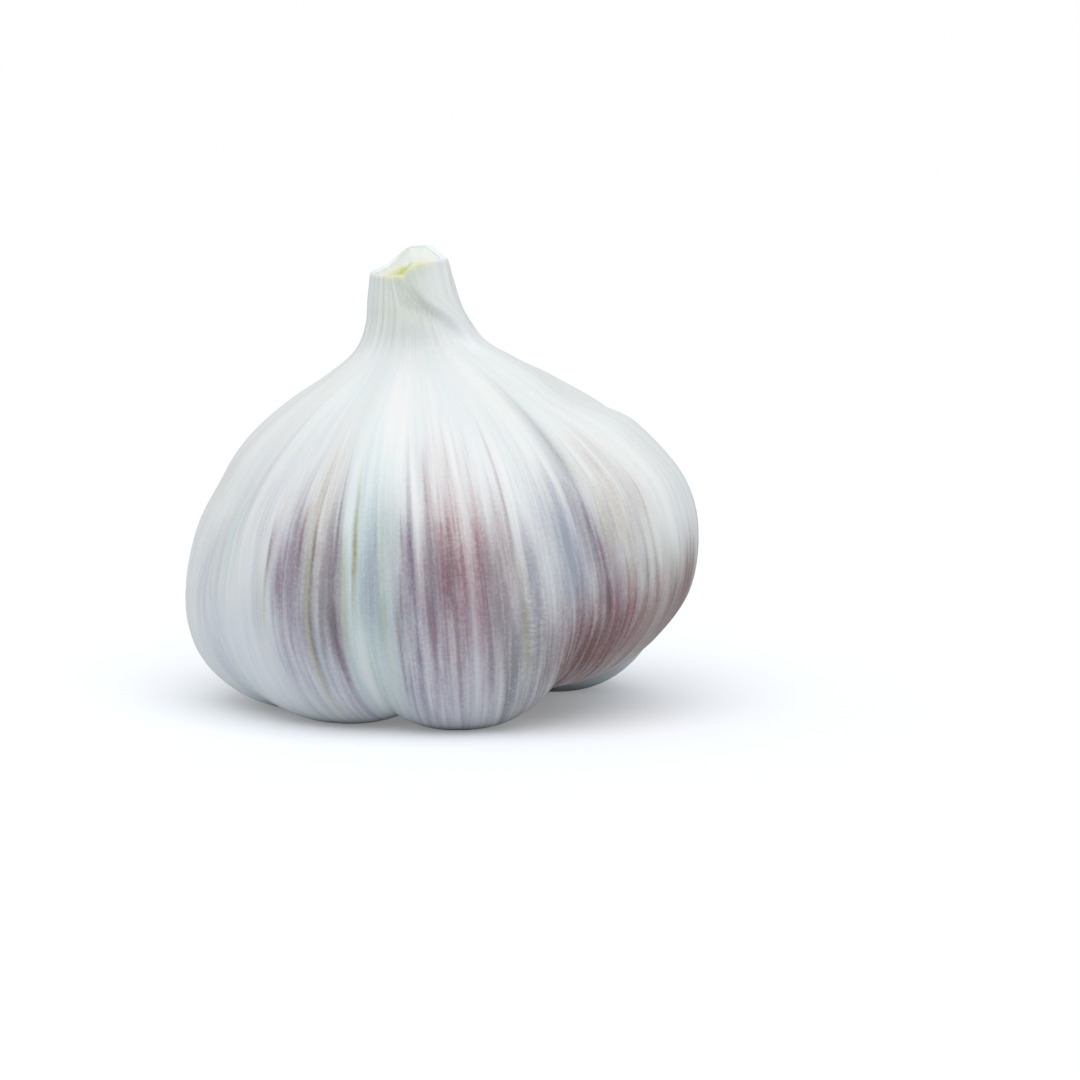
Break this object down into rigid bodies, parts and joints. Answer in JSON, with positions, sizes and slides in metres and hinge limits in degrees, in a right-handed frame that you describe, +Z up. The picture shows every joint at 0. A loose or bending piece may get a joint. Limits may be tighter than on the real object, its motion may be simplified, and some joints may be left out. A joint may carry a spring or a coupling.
{
  "type": "garlic bulb",
  "caption": "Whole garlic bulb in white and purple-striped papery skin, with a short cut neck and trimmed roots under its base.",
  "frame": {"origin": "on the surface that the bulb stands on, under the middle of its bounding box", "axes": "+Z up, +X to the bulb's widest side, -Y to the front, where the fold of the neck is"},
  "size_m": [0.0598, 0.0568, 0.0534],
  "materials": {
    "skin": "dry papery leaf skin, satin, white with soft purple, violet and blue-green streaks",
    "stalk": "cut leaf sheaths, matt white with a touch of yellow-green",
    "root": "dry corky root disc with trimmed root stubs, matt tan"
  },
  "bodies": {
    "root": {"wrapped_bulb": "skin", "neck_core": "stalk", "root_plate": "root"}
  },
  "joints": []
}
